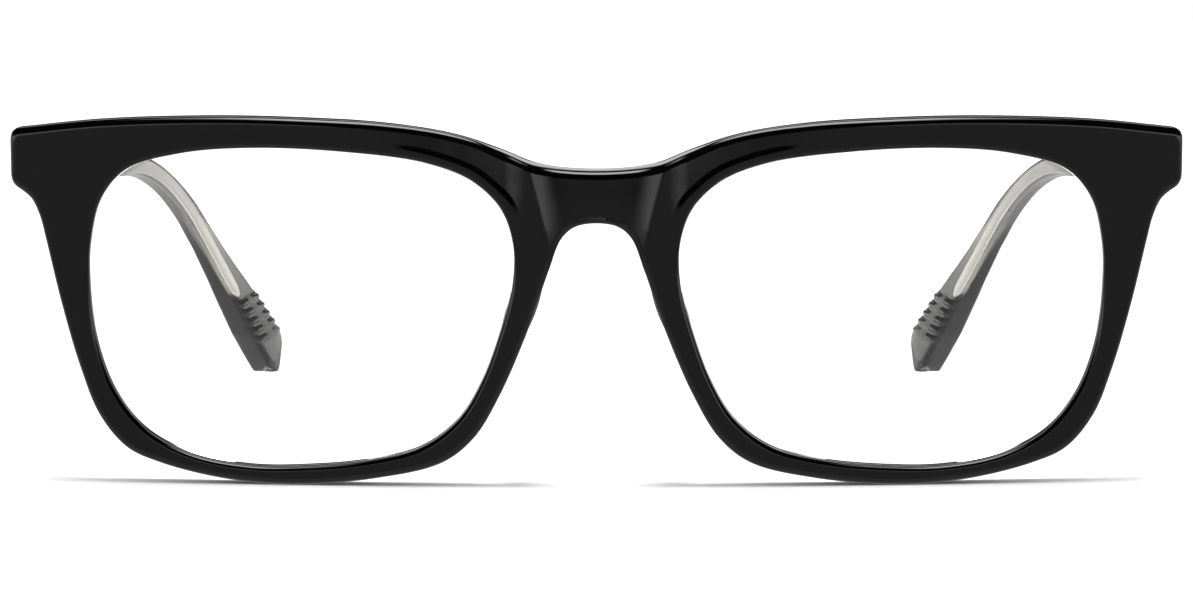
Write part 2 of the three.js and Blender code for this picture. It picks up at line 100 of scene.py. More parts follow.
BRIDGE_FALL = 0.4                   # the bridge's top falls this much from back to front
BRIDGE_FALL_ENDS = (15, 10)         # lateral distances between which the fall comes in
BRIDGE_FALL_FOOT = (34, 38)         # and heights
SCOOP_SLOPE = 0.36                  # of the hollow carved in the bridge's face, at its crease
SCOOP_REACH = 6.0                   # from the crease to where the hollow is level
SCOOP_HALF_WIDTH = 6.3              # at the height SCOOP_FOOT
SCOOP_FOOT = 31.35
SCOOP_SPREAD = 0.22                 # how much wider it gets for each millimetre of height
SCOOP_FADE = (22, 38)               # heights between which the hollow comes in
SCOOP_MOST = 1.2                    # its slope stops growing at this multiple
CREASE_SOFTNESS = 0.1
CREST = 1.2                         # soft ridge round the opening's upper nasal corner, from its edge
CREST_FALL = 0.17                   # depth of the step outside the crest
CREST_WIDTH = 0.9                   # and the step's width
CREST_INNER_SLOPE = 0.10
CREST_NASAL = (8.5, 11)             # lateral distances between which the crest comes in
CREST_TEMPORAL = (25, 18)           # and those between which it fades out again
CREST_FOOT = (27, 33)               # heights between which it comes in
NOSE_TILT = 0.055                   # the brow beside the nose tilts back
NOSE_TILT_FOOT = 31                 # from this height up
NOSE_TILT_TEMPORAL = (33, 20)       # lateral distances between which the tilt comes in
NOSE_TILT_NASAL = (2, 16)           # and those over which it fades out again towards the nose

TIP_RADIUS = 2.2                    # rounding of the temple's end, seen from the side
TIP_EDGE = 2.8                      # length over which its thickness is rounded off
TIP_LAST = 0.985                    # share of those lengths at which the flat end begins
RIB_START = 127.9                   # distance along the temple
RIB_PITCH = 2.3
RIB_COUNT = 5
RIB_HEIGHT = 0.5
RIB_INBOARD = (0.45, 0.9)           # share of the bar's half thickness over which the ribs come in
RIB_UPPER = (1.0, 0.75)             # and of its half height, over which they fade at the upper edge
RIB_SLANT = 1.0                     # how far a rib runs back for each millimetre of its height
WIRE_START = 0.6
WIRE_END = 125.5
WIRE_HEIGHT = 2.2
WIRE_THICKNESS = 0.9
WIRE_WALL = (0.2, 0.45)             # acetate between the wire and the temple's inner and lower faces
WIRE_SHIFT = (60, 90)               # where the wire moves from the bar's middle towards those faces
WIRE_LAST = 0.99                    # share of its rounded end at which the flat end begins

FAR_FROM_OPENING = 9                # the front's shaping is the same everywhere beyond this distance

CURVE_STEPS = 24                    # between two points of an outline
SEAM_MERGE = 2e-6                   # metres within which the points of the front's strips are joined
POINT_MERGE = 1e-7                  # and those of the other pieces


# ---- Curves ----

def centripetal(points, closed=False):
    """Centripetal Catmull-Rom curve through the points, with an even number of steps between them."""
    points = np.array(points, float)
    if closed:
        knots = np.vstack([points[-1:], points, points[:2]])
    else:
        knots = np.vstack([2 * points[0] - points[1], points, 2 * points[-1] - points[-2]])
    t = np.linspace(0, 1, CURVE_STEPS, endpoint=False)[:, None]
    out = []
    for p0, p1, p2, p3 in zip(knots, knots[1:], knots[2:], knots[3:]):
        t01, t12, t23 = (math.dist(a, b) ** 0.5 for a, b in ((p0, p1), (p1, p2), (p2, p3)))
        m1 = t12 * ((p1 - p0) / t01 - (p2 - p0) / (t01 + t12) + (p2 - p1) / t12)
        m2 = t12 * ((p2 - p1) / t12 - (p3 - p1) / (t12 + t23) + (p3 - p2) / t23)
        out.append(
            (2 * t**3 - 3 * t**2 + 1) * p1 + (t**3 - 2 * t**2 + t) * m1
            + (3 * t**2 - 2 * t**3) * p2 + (t**3 - t**2) * m2
        )
    out.append(points[:1] if closed else points[-1:])
    return np.vstack(out)


def from_middle(line):
    """Smooth curve from the middle outwards; its mirror image carries on beyond the middle."""
    mirror = [(-u, w) for u, w in line[:0:-1]]
    return centripetal(mirror + line)[len(mirror) * CURVE_STEPS:]


def bezier(points, count):
    """Bezier curve of any order, as a row of points."""
    t = np.linspace(0, 1, count)[:, None]
    order = len(points) - 1
    terms = (math.comb(order, k) * t**k * (1 - t) ** (order - k) for k in range(order + 1))
    return sum(term * np.array(point, float) for term, point in zip(terms, points))


def distances(points):
    """Distance of each point from the first, along the line."""
    return np.concatenate([[0], np.cumsum(np.linalg.norm(np.diff(points, axis=0), axis=1))])


def even(points, count):
    """The same line with evenly spaced points."""
    run = distances(points)
    return resample(points, run, np.linspace(0, run[-1], count))


def denser_near_nose(points, count):
    """Points along the curve, three times as close together beside the nose as elsewhere."""
    points = even(points, FINE_STATIONS)
    density = 1 + 2 * ramp(np.abs(points[:, 0]), *DENSE_ENDS)
    run = np.concatenate([[0], np.cumsum((density[1:] + density[:-1]) / 2)])
    return resample(points, run, np.linspace(0, run[-1], count))


def resample(points, run, places):
    """Points of the line at the places, where run is each point's distance."""
    return np.stack([np.interp(places, run, column) for column in points.T], axis=1)


def inward(points, closed):
    """Unit normals to the left of the direction of travel."""
    if closed:
        step = np.roll(points, -1, axis=0) - np.roll(points, 1, axis=0)
    else:
        step = np.gradient(points, axis=0)
    normal = np.stack([-step[:, 1], step[:, 0]], axis=1)
    return normal / np.linalg.norm(normal, axis=1)[:, None]


def ramp(value, start, end):
    """Smooth step from 0 at start to 1 at end."""
    t = np.clip((value - start) / (end - start), 0, 1)
    return t * t * (3 - 2 * t)


# ---- Meshes ----

def add_object(name, points, faces, side=1):
    """Smooth mesh object from points in millimetres, inside the CAD's box, mirrored for the right side."""
    points = np.array(points, float) * MM
    points = np.clip(points, CAD_BOUNDS[0], CAD_BOUNDS[1])
    if side < 0:
        points[:, 0] *= -1
        faces = [face[::-1] for face in faces]
    mesh = bpy.data.meshes.new(name)
    mesh.from_pydata(points.tolist(), [], [tuple(int(i) for i in face) for face in faces])
    mesh.validate()
    mesh.polygons.foreach_set("use_smooth", [True] * len(mesh.polygons))
    mesh.update()
    piece = bpy.data.objects.new(name, mesh)
    bpy.context.scene.collection.objects.link(piece)
    return piece


def grid_faces(rows, columns, start=0, closed=False):
    """Quads of a grid of points stored row after row, where a closed grid's rows are loops."""
    faces = []
    for r in range(rows - 1):
        a = start + r * columns
        b = a + columns
        for c in range(columns if closed else columns - 1):
            d = (c + 1) % columns
            faces.append((a + c, a + d, b + d, b + c))
    return faces


def capped_loft(rings):
    """Closed skin over rings of equal size, the first and last closed by a fan."""
    rows, columns, _ = rings.shape
    points = rings.reshape(-1, 3)
    faces = grid_faces(rows, columns, closed=True)
    first, last = len(points), len(points) + 1
    points = np.vstack([points, rings[0].mean(axis=0), rings[-1].mean(axis=0)])
    end = (rows - 1) * columns
    for c in range(columns):
        d = (c + 1) % columns
        faces.append((first, d, c))
        faces.append((last, end + c, end + d))
    return points, faces


# ---- The front's own space: u lateral, w up, t depth behind the face ----

# Outlines as (u, w): brow and rim from the middle outwards, and the whole opening.
BROW_LINE = [
    (0, 38.45), (6.7, 39.05), (11.5, 40.85), (17.4, 42.65), (25.8, 43.9), (35.4, 44.42), (46.3, 44.54),
    (59.7, 43.98), (70.1, 42.82),
]
RIM_LINE = [
    (0, 31.95), (2.6, 31.5), (4.2, 30.1), (5.7, 26.3), (8.4, 18.6), (11.8, 10.8), (14.8, 5.9), (18.6, 2.9),
    (26.6, 0.9), (36.5, 0.0), (45.0, 0.5), (53.1, 2.3), (57.2, 4.1), (60.5, 8.0), (62.8, 13.8), (65.0, 21.6),
    (66.8, 29.4), (67.5, 32.2), (68.5, 34.3), (69.8, 35.4),
]
OPENING_LINE = [
    (61.4, 24.5), (61.2, 29.2), (59.8, 34.5), (56.6, 38.1), (50.0, 40.1), (41.4, 40.85), (30.5, 40.5),
    (20.5, 39.2), (14.8, 37.0), (11.5, 33.8), (10.0, 29.5), (10.1, 24.5), (11.6, 18.7), (13.8, 12.8),
    (16.6, 8.2), (21.0, 4.8), (27.3, 3.1), (34.6, 2.3), (41.9, 2.2), (49.3, 3.5), (54.8, 6.4),
    (58.4, 10.9), (60.6, 17.0),
]
END_CORNER = (71.0, 42.6)
END_TOP = (71.0, 41.4)
END_BOTTOM = (71.0, 37.3)
END_UNDERSIDE = (71.0, 35.9)
END_CURVE_POINTS = 9
END_FLAT_POINTS = 6

RING_STATIONS = 640
FINE_STATIONS = 4000                # from which the outline's stations are chosen
DENSE_ENDS = (26, 16)               # lateral distances between which they draw together
SEAM_STATIONS = 34                  # down the middle of the bridge
FACE_STEPS = 44
BACK_STEPS = 16
STEP_GROWTH = 1.3                   # rows of the face are closer together near the opening
LAST_ROW = 0.98                     # one more row, just short of the outer edge
ARC_STEPS = 7
MATCH_BY_ANGLE = 0.85               # the rest is by distance round the outline


def front_point(u, w, t):
    """Point of the leaning, bowed front, in the object's space."""
    back = u * u / (2 * BOW_RADIUS) + t
    y = math.sin(LEAN) * (LEAN_PIVOT - w) + math.cos(LEAN) * back
    z = math.cos(LEAN) * w + math.sin(LEAN) * back + FRONT_RAISE
    return np.stack(np.broadcast_arrays(u, y - ORIGIN_Y, z), axis=-1)


def half_outline():
    """From the middle of the bridge's top, round the end piece and the rim, to its underside."""
    brow, rim = from_middle(BROW_LINE), from_middle(RIM_LINE)[::-1]
    return np.vstack([
        brow[:-1],
        bezier([brow[-1], END_CORNER, END_TOP], END_CURVE_POINTS)[:-1],
        bezier([END_TOP, END_BOTTOM], END_FLAT_POINTS)[:-1],
        bezier([END_BOTTOM, END_UNDERSIDE, rim[0]], END_CURVE_POINTS)[:-1],
        rim,
    ])


def scoop(u, w):
    """Depth of the hollow in the bridge's face."""
    inside = SCOOP_HALF_WIDTH + SCOOP_SPREAD * (w - SCOOP_FOOT) - np.abs(u)
    inside = 0.5 * (inside + np.sqrt(inside**2 + CREASE_SOFTNESS**2)) - CREASE_SOFTNESS / 4
    share = np.clip(inside / SCOOP_REACH, 0, 1)
    low, high = SCOOP_FADE
    slope = SCOOP_SLOPE * np.clip((w - low) / (high - low), 0, SCOOP_MOST)
    return slope * SCOOP_REACH / 3 * (1 - (1 - share) ** 3)


def relief(u, w, away):
    """Depth of the front's shaping beside the nose, away millimetres from the opening's edge."""
    u = np.abs(u)
    corner = ramp(u, *CREST_NASAL) * ramp(u, *CREST_TEMPORAL) * ramp(w, *CREST_FOOT)
    inner = CREST_INNER_SLOPE * np.clip(CREST - away, 0, None)
    crest = corner * (inner + CREST_FALL * ramp(away, CREST, CREST + CREST_WIDTH))
    tilt = NOSE_TILT * np.clip(w - NOSE_TILT_FOOT, 0, None) * ramp(u, *NOSE_TILT_TEMPORAL)
    return crest + tilt * ramp(u, *NOSE_TILT_NASAL)


def carved_point(u, w, depth, away):
    """Point of the front with the hollow and the shaping, which fade out towards its back."""
    share = 1 - depth / FRONT_THICKNESS
    fall = BRIDGE_FALL * ramp(np.abs(u), *BRIDGE_FALL_ENDS) * ramp(w, *BRIDGE_FALL_FOOT) * share
    hollow = (scoop(u, w) + relief(u, w, away)) * share
    return front_point(u, w - fall, depth + hollow)


def edge_arc(radius):
    """Quarter round: how far in from the edge, and how far behind the face."""
    angle = np.linspace(0, math.pi / 2, ARC_STEPS)
    return radius * (1 - np.sin(angle)), radius * (1 - np.cos(angle))


def wall_profile(radius, grooved):
    """Section of an edge from the face to the back: offset into the material, and depth."""
    off, deep = edge_arc(radius)
    offsets, depths = list(off), list(deep)
    if grooved:
        middle = LENS_SETBACK + LENS_THICKNESS / 2
        for offset, depth in ((0, -1), (1, 0), (0, 1)):
            offsets.append(offset * GROOVE_DEPTH)
            depths.append(middle + depth * GROOVE_WIDTH / 2)
    else:
        offsets.append(0)
        depths.append(FRONT_THICKNESS / 2)
    offsets.extend(off[::-1])
    depths.extend(FRONT_THICKNESS - deep[::-1])
    return np.array(offsets), np.array(depths)


def matched_opening(outer, opening):
    """For each point of the outer loop, the point of the opening that faces it."""
    centre = opening.mean(axis=0)

    def turned(points):
        away = points - centre
        return np.unwrap(np.arctan2(away[:, 1], away[:, 0]))

    closed = np.vstack([opening, opening[:1]])
    angle = turned(closed)
    if angle[-1] < angle[0]:
        closed, angle = closed[::-1], angle[::-1]
    outer_angle = turned(outer)
    run = distances(np.vstack([outer, outer[:1]]))
    direction = 1 if outer_angle[-1] > outer_angle[0] else -1
    steady = outer_angle[0] + direction * 2 * math.pi * run[:-1] / run[-1]
    rising = direction * np.maximum.accumulate(direction * outer_angle)
    wanted = MATCH_BY_ANGLE * rising + (1 - MATCH_BY_ANGLE) * steady
    lap = (wanted - angle[0]) % (2 * math.pi) + angle[0]
    return resample(closed, angle, lap)


def ring_lines():
    """The left half's outline with normals, the loop inside its edge, and the opening with normals."""
    opening = even(centripetal(OPENING_LINE, closed=True), RING_STATIONS)[:-1]
    outline = denser_near_nose(half_outline(), RING_STATIONS)
    outer_normal = -inward(outline, False)
    outer_normal[[0, -1], 0] = 0
    outer_normal /= np.linalg.norm(outer_normal, axis=1)[:, None]
    if outer_normal[0, 1] > 0:
        outer_normal = -outer_normal
    edge = outline + OUTER_EDGE * outer_normal
    seam = bezier([edge[-1], edge[0]], SEAM_STATIONS)[1:-1]
    loop = np.vstack([edge, seam])
    inner = matched_opening(loop, opening)
    inner_normal = inward(inner, True)
    if np.sum(inner_normal * (inner - opening.mean(axis=0))) < 0:
        inner_normal = -inner_normal
    return outline, outer_normal, loop, inner, inner_normal


def ring_half():
    """Points and faces of the left half of the front, open along the middle."""
    outline, outer_normal, loop, inner, inner_normal = ring_lines()
    points, faces = [], []

    def add_rows(rows, closed, flipped):
        """Adds a strip of rows of points, with the faces between them."""
        start = sum(len(block) for block in points)
        points.append(np.concatenate(rows))
        block = grid_faces(len(rows), len(rows[0]), start, closed=closed)
        faces.extend(face[::-1] if flipped else face for face in block)

    # The opening's wall, with the groove that holds the lens.
    rows = []
    for offset, depth in zip(*wall_profile(INNER_EDGE, True)):
        u, w = (inner + offset * inner_normal).T
        rows.append(carved_point(u, w, depth, offset))
    add_rows(rows, closed=True, flipped=False)

    # The outer edge.
    rows = []
    for offset, depth in zip(*wall_profile(OUTER_EDGE, False)):
        u, w = (outline + offset * outer_normal).T
        rows.append(carved_point(u, w, depth, FAR_FROM_OPENING))
    add_rows(rows, closed=False, flipped=True)

    # The face and the back, from the opening's rounded edge to the outer one.
    near = inner + INNER_EDGE * inner_normal
    width = np.linalg.norm(loop - near, axis=1)
    for steps, depth in ((FACE_STEPS, 0), (BACK_STEPS, FRONT_THICKNESS)):
        share = np.linspace(0, 1, steps + 1) ** STEP_GROWTH
        rows = []
        for s in [*share[:-1], LAST_ROW, 1]:
            u, w = (near + s * (loop - near)).T
            away = np.minimum(INNER_EDGE + s * width, FAR_FROM_OPENING) if s < 1 else FAR_FROM_OPENING
            rows.append(carved_point(u, w, depth, away))
        add_rows(rows, closed=True, flipped=depth == 0)
    return np.concatenate(points), faces


def merge_close(piece, distance):
    """Joins points within a distance in metres, and turns all faces outwards."""
    mesh = bmesh.new()
    mesh.from_mesh(piece.data)
    bmesh.ops.remove_doubles(mesh, verts=mesh.verts, dist=distance)
    bmesh.ops.dissolve_degenerate(mesh, edges=mesh.edges, dist=distance / 10)
    bmesh.ops.recalc_face_normals(mesh, faces=mesh.faces)
    mesh.to_mesh(piece.data)
    mesh.free()
    piece.data.polygons.foreach_set("use_smooth", [True] * len(piece.data.polygons))
    piece.data.update()


def end_block():
    """Solid block behind the end piece, which carries the front leaf of the hinge."""
    low, high = np.array(BLOCK_LOW), np.array(BLOCK_HIGH)
    half = (high - low) / 2
    across, upwards = bar_section(BLOCK_SIDES, BLOCK_SQUARENESS)
    rings = []
    for turn in np.linspace(-math.pi / 2, math.pi / 2, BLOCK_RINGS):
        inset = BLOCK_EDGE * (1 - math.cos(turn))
        y = np.sign(turn) * (half[1] - BLOCK_EDGE) + BLOCK_EDGE * math.sin(turn)
        ring = [across * (half[0] - inset), np.full(len(across), y), upwards * (half[2] - inset)]
        rings.append(np.stack(ring, axis=1))
    x, y, z = np.moveaxis(np.array(rings) + (low + high) / 2, -1, 0)
    cos_tilt, sin_tilt = math.cos(HINGE_TILT), math.sin(HINGE_TILT)
    leaning = np.stack([x, y * cos_tilt + z * sin_tilt, z * cos_tilt - y * sin_tilt], axis=-1)
    return capped_loft(leaning + HINGE_PLACE - (0, ORIGIN_Y, 0))


def make_front():
    """The front's left half with its end block, and the same again mirrored."""
    points, faces = ring_half()
    block, block_faces = end_block()
    faces += [tuple(len(points) + i for i in face) for face in block_faces]
    points = np.vstack([points, block])
    mirrored = [tuple(len(points) + i for i in face[::-1]) for face in faces]
    piece = add_object("front_shell", np.vstack([points, points * (-1, 1, 1)]), faces + mirrored)
    merge_close(piece, SEAM_MERGE)
    return piece


# ---- Lenses ----

LENS_STATIONS = 260
LENS_RINGS = 20
SHARP_EDGE = math.radians(30)


def make_lens(label, side):
    """Curved lens whose edge has a blunt vee that sits in the groove."""
    opening = even(centripetal(OPENING_LINE, closed=True), LENS_STATIONS + 1)[:-1]
    centre = opening.mean(axis=0)
    away = opening - centre
    reach = np.linalg.norm(away, axis=1)[:, None]

    def ring(radius, depth):
        """Ring of points at a distance from the centre and a depth behind the front's face."""
        u, w = (centre + away / reach * radius).T
        return front_point(u, w, depth)

    edge = reach - LENS_CLEARANCE
    front, back = [], []
    for share in np.linspace(LENS_HUB, 1, LENS_RINGS):
        depth = LENS_SETBACK - LENS_BULGE * (1 - share * share)
        front.append(ring(edge * share, depth))
        back.append(ring(edge * share, depth + LENS_THICKNESS))
    middle = LENS_SETBACK + LENS_THICKNESS / 2
    vee = [
        ring(edge + offset * GROOVE_DEPTH, middle + depth * GROOVE_WIDTH / 2)
        for offset, depth in ((0, -1), (VEE_REACH, -VEE_FLAT), (VEE_REACH, VEE_FLAT), (0, 1))
    ]
    points, faces = capped_loft(np.array(front + vee + back[::-1]))
    piece = add_object(f"lens_clear_{label}", points, faces, side)
    merge_close(piece, POINT_MERGE)
    sharpen(piece, SHARP_EDGE)
    return piece


def sharpen(piece, limit):
    """Marks edges sharper than an angle, so that shading breaks there."""
    mesh = bmesh.new()
    mesh.from_mesh(piece.data)
    for edge in mesh.edges:
        edge.smooth = not (edge.is_manifold and edge.calc_face_angle(0) > limit)
    mesh.to_mesh(piece.data)
    mesh.free()


# ---- Nose pads ----

PAD_ROWS = 40
PAD_COLUMNS = 64


def make_pad(label, side):
    """Rounded pad whose flat side faces the front, turned, and leaning as the front does."""
    tilt = np.linspace(PAD_POLE, math.pi - PAD_POLE, PAD_ROWS)[:, None]
    turn = np.linspace(0, 2 * math.pi, PAD_COLUMNS, endpoint=False)
    x = PAD_HALF[0] * np.sin(tilt) * np.cos(turn)
    y = np.maximum(PAD_HALF[1] * np.sin(tilt) * np.sin(turn), PAD_SEAT)
    z = PAD_HALF[2] * np.cos(tilt) * np.ones(PAD_COLUMNS)
    cos_turn, sin_turn = math.cos(PAD_TURN), math.sin(PAD_TURN)
    x, z = x * cos_turn - z * sin_turn, x * sin_turn + z * cos_turn
    y, z = y * math.cos(LEAN) - z * math.sin(LEAN), y * math.sin(LEAN) + z * math.cos(LEAN)
    behind = (PAD_CENTRE[0] + PAD_HALF[0]) ** 2 / (2 * BOW_RADIUS) + PAD_GAP
    seat = front_point(*PAD_CENTRE, FRONT_THICKNESS + behind)
    points, faces = capped_loft(np.stack([x, y, z], axis=-1) + seat)
    piece = add_object(f"nose_pad_skin_{label}", points, faces, side)
    merge_close(piece, POINT_MERGE)
    return piece


# ---- Temples ----

# The centre line, in the object's space before the move by ORIGIN_Y.
TEMPLE_START = (68.3, 12.0, 39.0)
BOW_OUT = (68.6, 38, 37.55)
BOW_IN = (69.4, 64, 36.1)
BEND_START = (67.2, 88, 34.75)
BEND_CORNER = (65.2, 107.2, 34.1)
BEND_END = (61.3, 116, 26.2)
TEMPLE_END = (51.0, 143.852, 1.7)

# Distance along the temple, height, thickness, and how much thicker the lower edge is than the middle.
TEMPLE_SIZES = np.array([
    (0, 6.0, 3.6, 0), (38, 4.7, 3.3, 0), (76, 3.2, 2.8, 0), (86, 3.1, 2.7, 0), (97, 3.2, 2.7, 0),
    (107, 3.5, 2.85, 0), (113, 4.0, 2.9, 0.2), (119, 5.0, 3.1, 0.5), (126, 6.6, 3.6, 0.85),
    (133, 8.1, 4.0, 0.95), (140, 8.6, 4.0, 0.9), (150, 8.6, 3.7, 0.7),
])
BOW_POINTS = 400
BEND_POINTS = 300
DROP_POINTS = 200

BUTT_CHAMFER = 0.5                  # rounding of the bar's front end
BAR_SIDES = 120
BAR_SQUARENESS = 4
PLAIN_STEP = 0.8                    # between the bar's rings
RIB_STEP = 0.1                      # and where it is ribbed
RIB_MARGIN = (6, 4)                 # how far the closer rings go on before and after the ribs
BUTT_RINGS = 7
TIP_RINGS = 24
WIRE_SIDES = 40
WIRE_SQUARENESS = 7
WIRE_END_RINGS = 12


class TemplePath:
    """The temple's centre line with its directions, by distance from its front end."""

    def __init__(self):
        points = np.vstack([
            bezier([TEMPLE_START, BOW_OUT, BOW_IN, BEND_START], BOW_POINTS)[:-1],
            bezier([BEND_START, BEND_CORNER, BEND_END], BEND_POINTS)[:-1],
            bezier([BEND_END, TEMPLE_END], DROP_POINTS),
        ])
        self.points = points - (0, ORIGIN_Y, 0)
        self.run = distances(self.points)
        self.length = self.run[-1]
        along = np.gradient(self.points, self.run, axis=0)
        self.along = along / np.linalg.norm(along, axis=1)[:, None]

    def at(self, places):
        """Centre, inboard direction and upward direction at distances along the temple."""
        centre = resample(self.points, self.run, places)
        along = resample(self.along, self.run, places)
        along /= np.linalg.norm(along, axis=1)[:, None]
        inboard = np.cross((0, 0, 1), along)
        inboard /= np.linalg.norm(inboard, axis=1)[:, None]
        upward = np.cross(along, inboard)
        return centre, inboard, upward


PATH = TemplePath()


def bar_section(sides, squareness):
    """Rounded box that reaches 1 each way: a circle at squareness 2, squarer above it."""
    angle = np.linspace(0, 2 * math.pi, sides, endpoint=False)
    c, s = np.cos(angle), np.sin(angle)
    power = 2 / squareness
    return np.sign(c) * np.abs(c) ** power, np.sign(s) * np.abs(s) ** power


def rib_height(places):
    """Height of the grip ribs at distances along the temple."""
    turn = (places - RIB_START) / RIB_PITCH
    inside = (turn > 0) & (turn < RIB_COUNT)
    return RIB_HEIGHT * np.where(inside, np.sin(turn * math.pi) ** 2, 0)


def temple_sizes(places):
    """Height, thickness and the lower edge's extra thickness at distances along the temple."""
    return (np.interp(places, TEMPLE_SIZES[:, 0], TEMPLE_SIZES[:, k]) for k in (1, 2, 3))


def temple_places():
    """Distances of the bar's rings, closer together at both ends and along the ribs."""
    ribs_end = RIB_START + RIB_COUNT * RIB_PITCH
    ribbed = np.arange(RIB_START - RIB_MARGIN[0], ribs_end + RIB_MARGIN[1], RIB_STEP)
    plain = np.arange(BUTT_CHAMFER, ribbed[0], PLAIN_STEP)
    butt = BUTT_CHAMFER * (1 - np.cos(np.linspace(0, math.pi / 2, BUTT_RINGS)[:-1]))
    tip = PATH.length - TIP_RADIUS * (1 - np.sin(np.linspace(0, math.asin(TIP_LAST), TIP_RINGS)))
    ribbed = ribbed[ribbed < tip[0] - RIB_STEP / 2]
    return np.concatenate([butt, plain, ribbed, tip])


def bar_rings(places, lateral, vertical):
    """Rings round the temple's centre line, from offsets towards the inboard side and upward."""
    centre, inboard, upward = PATH.at(places)
    return centre[:, None] + lateral[..., None] * inboard[:, None] + vertical[..., None] * upward[:, None]


def make_temple(label, side):
    """Temple bar with a rounded butt, ribs on its inboard face and a rounded tip."""
    places = temple_places()
    height, thickness, slant = temple_sizes(places)
    chamfer = np.clip(BUTT_CHAMFER - places, 0, None)
    chamfer = BUTT_CHAMFER - np.sqrt(np.clip(BUTT_CHAMFER**2 - chamfer**2, 0, None))
    to_end = PATH.length - places
    inside = np.clip((TIP_RADIUS - to_end) / TIP_RADIUS, 0, TIP_LAST)
    tip_inset = TIP_RADIUS * (1 - np.sqrt(1 - inside**2))
    edge = np.clip((TIP_EDGE - to_end) / TIP_EDGE, 0, TIP_LAST)
    thinning = (1 - edge**3) ** (1 / 3)
    across, upwards = bar_section(BAR_SIDES, BAR_SQUARENESS)
    vertical = upwards * (height / 2 - tip_inset - chamfer)[:, None]
    on_inner = ramp(across, *RIB_INBOARD) * ramp(upwards, *RIB_UPPER)
    ribs = rib_height(places[:, None] - RIB_SLANT * vertical)
    inner = ribs * on_inner - (across > 0) * slant[:, None] * upwards
    lateral = (across * (thickness / 2 - chamfer)[:, None] + inner) * thinning[:, None]
    rings = bar_rings(places, lateral, vertical)
    rings[..., 2] = np.maximum(rings[..., 2], 0)
    points, faces = capped_loft(rings)
    piece = add_object(f"temple_bar_{label}", points, faces, side)
    merge_close(piece, POINT_MERGE)
    return piece


def make_wire(label, side):
    """Flat core wire inside the temple, with a rounded end."""
    plain = np.arange(WIRE_START, WIRE_END - WIRE_HEIGHT, PLAIN_STEP)
    end = WIRE_END - WIRE_HEIGHT * (1 - np.sin(np.linspace(0, math.asin(WIRE_LAST), WIRE_END_RINGS)))
    places = np.concatenate([plain, end])
    height, thickness, slant = temple_sizes(places)
    share = ramp(places, *WIRE_SHIFT)
    down = np.maximum(0, (height - WIRE_HEIGHT) / 2 - WIRE_WALL[1])
    towards = (thickness - WIRE_THICKNESS) / 2 - WIRE_WALL[0] + slant * down / (height / 2)
    inside = np.clip(1 - (WIRE_END - places) / WIRE_HEIGHT, 0, WIRE_LAST)
    rounding = np.sqrt(1 - inside**2)
    across, upwards = bar_section(WIRE_SIDES, WIRE_SQUARENESS)
    vertical = upwards * (WIRE_HEIGHT / 2 * rounding)[:, None] - (share * down)[:, None]
    lateral = (share * towards)[:, None] + across * WIRE_THICKNESS / 2
    points, faces = capped_loft(bar_rings(places, lateral, vertical))
    return add_object(f"core_wire_bar_{label}", points, faces, side)


# ---- Materials ----

FINE_BUMP = 0.00002                         # metres
SMOKE_COLOUR = (0.50, 0.50, 0.47)
SMOKE_DENSITY = 1030                        # for each metre


def new_material(name, **values):
    """Material with a Principled shader, with values for its sockets by name."""
    material = bpy.data.materials.new(name)
    material.use_nodes = True
    shader = material.node_tree.nodes["Principled BSDF"]
    for key, value in values.items():
        socket = shader.inputs[key.replace("_", " ")]
        socket.default_value = (*value, 1) if isinstance(value, tuple) else value
    return material, material.node_tree, shader


def set_material(piece, material):
    """Gives the whole piece one material."""
    piece.data.materials.clear()
    piece.data.materials.append(material)


def add_noise(tree, scale, detail=3.0, stretch=(1, 1, 1)):
    """Noise over the object's own coordinates, finer across the stretched directions."""
    place = tree.nodes.new("ShaderNodeTexCoord")
    mapping = tree.nodes.new("ShaderNodeMapping")
    mapping.inputs["Scale"].default_value = stretch
    noise = tree.nodes.new("ShaderNodeTexNoise")
    noise.inputs["Scale"].default_value = scale
    noise.inputs["Detail"].default_value = detail
    tree.links.new(place.outputs["Object"], mapping.inputs["Vector"])
    tree.links.new(mapping.outputs["Vector"], noise.inputs["Vector"])
    return noise.outputs["Fac"]


def vary(tree, value, socket, low, high):
    """Drives a number socket between two values."""
    spread = tree.nodes.new("ShaderNodeMapRange")
    spread.inputs["To Min"].default_value = low
    spread.inputs["To Max"].default_value = high
    tree.links.new(value, spread.inputs["Value"])
    tree.links.new(spread.outputs["Result"], socket)


def tint(tree, value, socket, dark, light):
    """Drives a colour socket between two colours."""
    blend = tree.nodes.new("ShaderNodeMix")
    blend.data_type = "RGBA"
    blend.inputs[6].default_value = (*dark, 1)
    blend.inputs[7].default_value = (*light, 1)
    tree.links.new(value, blend.inputs["Factor"])
    tree.links.new(blend.outputs[2], socket)


def roughen(tree, shader, value, strength, depth):
    """Bumps the surface by a depth in metres."""
    bump = tree.nodes.new("ShaderNodeBump")
    bump.inputs["Strength"].default_value = strength
    bump.inputs["Distance"].default_value = depth
    tree.links.new(value, bump.inputs["Height"])
    tree.links.new(bump.outputs["Normal"], shader.inputs["Normal"])


def acetate_material():
    """Polished black acetate: faint clouds in the black, and a polish that isn't quite even."""
    material, tree, shader = new_material("polished_acetate", IOR=1.49)
    clouds = add_noise(tree, 90, detail=4.0)
    tint(tree, clouds, shader.inputs["Base Color"], (0.0004, 0.0004, 0.0005), (0.0010, 0.0010, 0.0011))
    polish = add_noise(tree, 600, detail=2.0)
    vary(tree, polish, shader.inputs["Roughness"], 0.045, 0.075)
    roughen(tree, shader, add_noise(tree, 260, detail=1.0), 0.08, FINE_BUMP)
    return material


